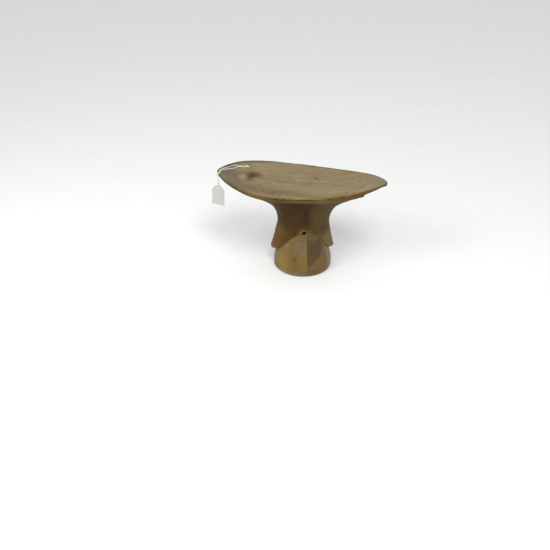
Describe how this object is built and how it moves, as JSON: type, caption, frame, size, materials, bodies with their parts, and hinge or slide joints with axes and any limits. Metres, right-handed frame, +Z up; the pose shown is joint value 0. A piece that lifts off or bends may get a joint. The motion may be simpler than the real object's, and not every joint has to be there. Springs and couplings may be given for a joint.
{
  "type": "carved wooden headrest",
  "caption": "Carved wooden headrest: a long leaf-shaped dished platform on a stout neck over a round foot, with a blank paper ticket on a string at one tip.",
  "frame": {"origin": "middle of the foot's flat base, which the headrest stands on", "axes": "+Z up from the base; +X along the platform towards the more pointed tip, away from the ticket; -Y towards the side with the small hole"},
  "size_m": [0.2342, 0.111, 0.1349],
  "materials": {
    "carved_wood": "hand-carved, worn smooth and matt, with a grey-brown patina",
    "cotton_string": "twisted white cotton thread",
    "plain_card": "matt white card"
  },
  "bodies": {
    "headrest": {"carved_headrest": "carved_wood", "string_rear_strand": "cotton_string", "string_front_strand": "cotton_string", "string_knot": "cotton_string"},
    "hanging_string": {"string_hanging_loop": "cotton_string"},
    "ticket": {"paper_ticket": "plain_card"}
  },
  "joints": [
    {"name": "string_swing", "type": "hinge", "parent": "headrest", "child": "hanging_string", "pos_m": [-0.11344, -0.00634, 0.13195], "axis": [-0.4372, 0.8994, 0], "range_deg": [-15, 80]},
    {"name": "ticket_pivot", "type": "hinge", "parent": "hanging_string", "child": "ticket", "pos_m": [-0.1156, -0.00739, 0.113], "axis": [-0.3173, -0.9483, 0], "range_deg": [-75, 60]}
  ]
}
